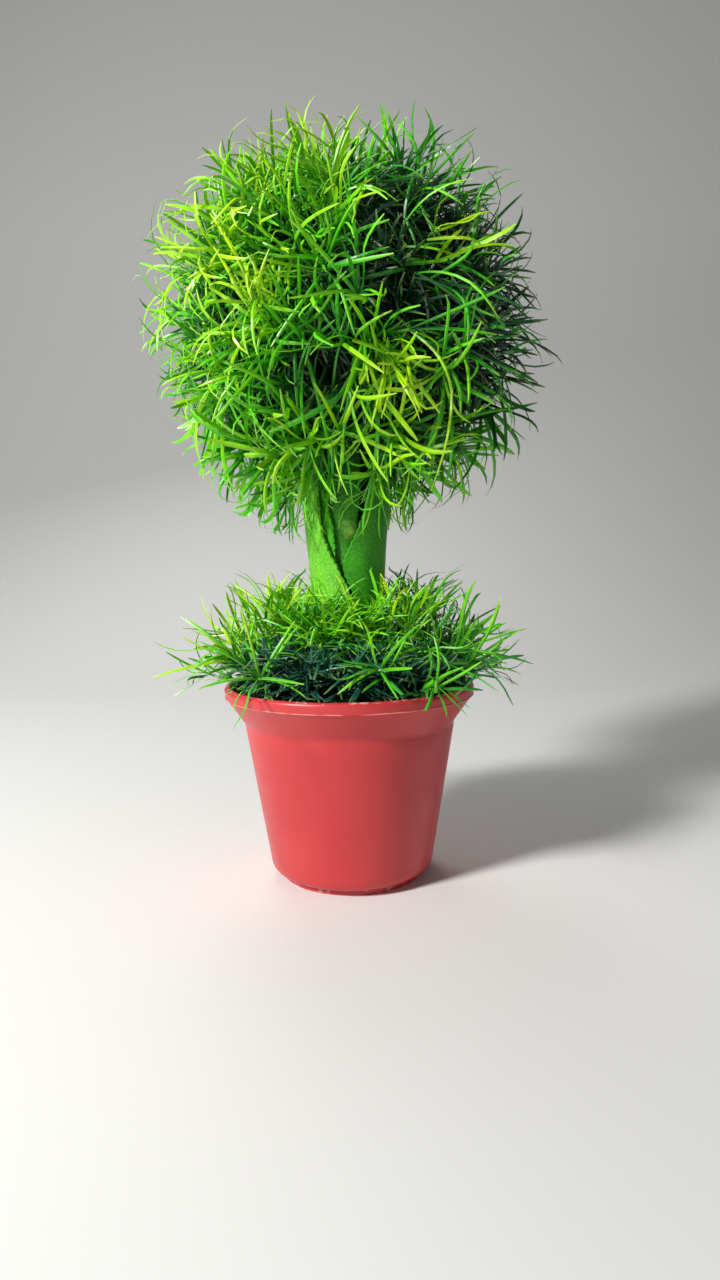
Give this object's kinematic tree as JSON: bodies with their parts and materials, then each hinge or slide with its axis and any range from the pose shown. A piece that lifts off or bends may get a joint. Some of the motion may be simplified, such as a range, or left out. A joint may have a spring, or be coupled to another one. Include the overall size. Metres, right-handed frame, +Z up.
{
  "type": "artificial tabletop tree",
  "caption": "Artificial topiary tree: round ball of curled plastic foliage on a leaf-wrapped trunk, set in a tapered red pot with grass; the ball turns on its pole.",
  "frame": {"origin": "middle of the flat underside of the pot's foot, where the tree stands", "axes": "+Z up along the pole; -Y towards the front, where the gap between the trunk leaves shows"},
  "size_m": [0.199, 0.1995, 0.385],
  "materials": {
    "pot_plastic": "satin",
    "cement": "matte",
    "foam": "matte",
    "frame_plastic": "gloss",
    "pole_plastic": "satin",
    "leaf_plastic": "satin",
    "blade_plastic": "satin",
    "grass_plastic": "satin"
  },
  "bodies": {
    "stand": {"pot": "pot_plastic", "ballast_block": "cement", "foam_plug": "foam", "grass_mat": "frame_plastic", "trunk_pole": "pole_plastic", "trunk_sleeve": "pole_plastic", "outer_leaf_left": "leaf_plastic", "outer_leaf_right": "leaf_plastic", "rear_leaf": "leaf_plastic", "inner_leaf_left": "leaf_plastic", "middle_leaf": "leaf_plastic", "grass_tuft_01": "grass_plastic", "grass_tuft_02": "grass_plastic", "grass_tuft_03": "grass_plastic", "grass_tuft_04": "grass_plastic", "grass_tuft_05": "grass_plastic", "grass_tuft_06": "grass_plastic", "grass_tuft_07": "grass_plastic", "grass_tuft_08": "grass_plastic", "grass_tuft_09": "grass_plastic", "grass_tuft_10": "grass_plastic", "grass_tuft_11": "grass_plastic", "grass_tuft_12": "grass_plastic"},
    "ball": {"ball_hub": "frame_plastic", "upper_ball_frame": "frame_plastic", "lower_ball_frame": "frame_plastic", "ball_sprig_01": "blade_plastic", "ball_sprig_02": "blade_plastic", "ball_sprig_03": "blade_plastic", "ball_sprig_04": "blade_plastic", "ball_sprig_05": "blade_plastic", "ball_sprig_06": "blade_plastic", "ball_sprig_07": "blade_plastic", "ball_sprig_08": "blade_plastic", "ball_sprig_09": "blade_plastic", "ball_sprig_10": "blade_plastic", "ball_sprig_11": "blade_plastic", "ball_sprig_12": "blade_plastic", "ball_sprig_13": "blade_plastic", "ball_sprig_14": "blade_plastic", "ball_sprig_15": "blade_plastic", "ball_sprig_16": "blade_plastic", "ball_sprig_17": "blade_plastic", "ball_sprig_18": "blade_plastic", "ball_sprig_19": "blade_plastic", "ball_sprig_20": "blade_plastic", "ball_sprig_21": "blade_plastic", "ball_sprig_22": "blade_plastic", "ball_sprig_23": "blade_plastic", "ball_sprig_24": "blade_plastic", "ball_sprig_25": "blade_plastic", "ball_sprig_26": "blade_plastic", "ball_sprig_27": "blade_plastic", "ball_sprig_28": "blade_plastic", "ball_sprig_29": "blade_plastic", "ball_sprig_30": "blade_plastic", "ball_sprig_31": "blade_plastic"}
  },
  "joints": [
    {"name": "ball_swivel", "type": "hinge", "parent": "stand", "child": "ball", "pos_m": [0, 0, 0.281], "axis": [0, 0, 1], "continuous": true}
  ]
}
